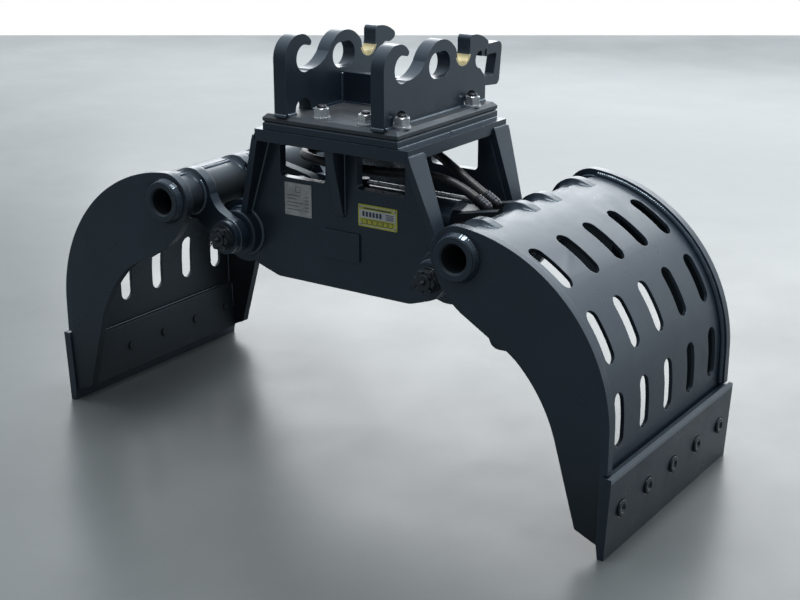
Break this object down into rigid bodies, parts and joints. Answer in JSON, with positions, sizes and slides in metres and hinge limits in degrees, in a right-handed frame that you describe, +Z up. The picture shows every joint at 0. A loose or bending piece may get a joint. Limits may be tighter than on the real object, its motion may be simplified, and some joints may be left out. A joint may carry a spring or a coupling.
{
  "type": "sorting grapple",
  "caption": "Hydraulic sorting grapple: slotted curved jaws with bolt-on cutting edges, hinged in a welded plate frame with a cross cylinder, hoses and a hook-on hitch.",
  "frame": {"origin": "on the floor, midway between the jaws and midway across their width", "axes": "+X along the opening direction, +Y across the jaws away from the viewer, +Z up"},
  "size_m": [1.475, 0.622, 0.9287],
  "materials": {
    "frame_paint": "satin blue-grey paint",
    "jaw_paint": "satin blue-grey paint",
    "bolt_steel": "painted over, satin",
    "pin_steel": "machined",
    "bronze": "machined bronze",
    "liner_gold": "yellow passivated steel",
    "zinc": "zinc plated",
    "chrome_rod": "hard chrome",
    "hose_rubber": "smooth black cover",
    "plate_aluminium": "bare, matt",
    "plate_yellow": "printed, satin"
  },
  "bodies": {
    "frame": {"frame_top_plate": "frame_paint", "frame_adapter_plate": "frame_paint", "frame_web_front": "frame_paint", "frame_web_rear": "frame_paint", "frame_flanges": "frame_paint", "frame_gussets": "frame_paint", "pivot_bosses": "frame_paint", "hitch_plate": "frame_paint", "hanger_right": "frame_paint", "hanger_left": "frame_paint", "hanger_cross_plate": "frame_paint", "lifting_handle": "frame_paint", "blank_plate": "frame_paint", "pivot_bushes": "bronze", "seat_liners": "liner_gold", "hitch_studs": "zinc", "hitch_nuts": "zinc", "hitch_washers": "zinc", "data_plate": "plate_aluminium", "info_plate": "plate_yellow", "plate_rivets": "plate_aluminium", "hose_block": "zinc", "hose_fittings": "zinc", "hose_extend": "hose_rubber", "hose_retract": "hose_rubber"},
    "jaw_left": {"jaw_left_side_plate_front": "jaw_paint", "jaw_left_side_plate_rear": "jaw_paint", "jaw_left_back_sheet": "jaw_paint", "jaw_left_tube": "jaw_paint", "jaw_left_ear_front": "jaw_paint", "jaw_left_ear_rear": "jaw_paint", "jaw_left_lug_front": "jaw_paint", "jaw_left_lug_rear": "jaw_paint", "jaw_left_blade_carrier": "jaw_paint", "jaw_left_cutting_edge": "jaw_paint", "jaw_left_edge_bolts": "bolt_steel", "jaw_left_pivot_pins": "pin_steel", "jaw_left_pin_nuts": "bolt_steel", "cylinder_pin_left": "pin_steel"},
    "jaw_right": {"jaw_right_side_plate_front": "jaw_paint", "jaw_right_side_plate_rear": "jaw_paint", "jaw_right_back_sheet": "jaw_paint", "jaw_right_tube": "jaw_paint", "jaw_right_ear_front": "jaw_paint", "jaw_right_ear_rear": "jaw_paint", "jaw_right_lug_front": "jaw_paint", "jaw_right_lug_rear": "jaw_paint", "jaw_right_blade_carrier": "jaw_paint", "jaw_right_cutting_edge": "jaw_paint", "jaw_right_edge_bolts": "bolt_steel", "jaw_right_pivot_pins": "pin_steel", "jaw_right_pin_nuts": "bolt_steel", "cylinder_pin_right": "pin_steel"},
    "barrel": {"cylinder_barrel": "frame_paint", "cylinder_gland": "frame_paint", "cylinder_ports": "zinc", "cylinder_transfer_tube": "zinc"},
    "rod": {"cylinder_rod": "chrome_rod", "cylinder_rod_eye": "frame_paint", "cylinder_piston": "pin_steel"}
  },
  "joints": [
    {"name": "jaw_left_hinge", "type": "hinge", "parent": "frame", "child": "jaw_left", "pos_m": [-0.274, 0, 0.472], "axis": [0, -1, 0], "range_deg": [0, 68]},
    {"name": "jaw_right_hinge", "type": "hinge", "parent": "frame", "child": "jaw_right", "pos_m": [0.274, 0, 0.472], "axis": [0, 1, 0], "range_deg": [0, 68], "deforming": ["hose_extend", "hose_retract"]},
    {"name": "barrel_pivot", "type": "hinge", "parent": "jaw_right", "child": "barrel", "pos_m": [0.25, 0, 0.532], "axis": [0, -1, 0], "range_deg": [0, 68]},
    {"name": "rod_pivot", "type": "hinge", "parent": "jaw_left", "child": "rod", "pos_m": [-0.25, 0, 0.532], "axis": [0, 1, 0], "range_deg": [0, 68]}
  ],
  "couplings": [
    {"joint": "jaw_right_hinge", "follows": "jaw_left_hinge", "ratio": 1},
    {"joint": "barrel_pivot", "follows": "jaw_left_hinge", "ratio": 1},
    {"joint": "rod_pivot", "follows": "jaw_left_hinge", "ratio": 1}
  ]
}
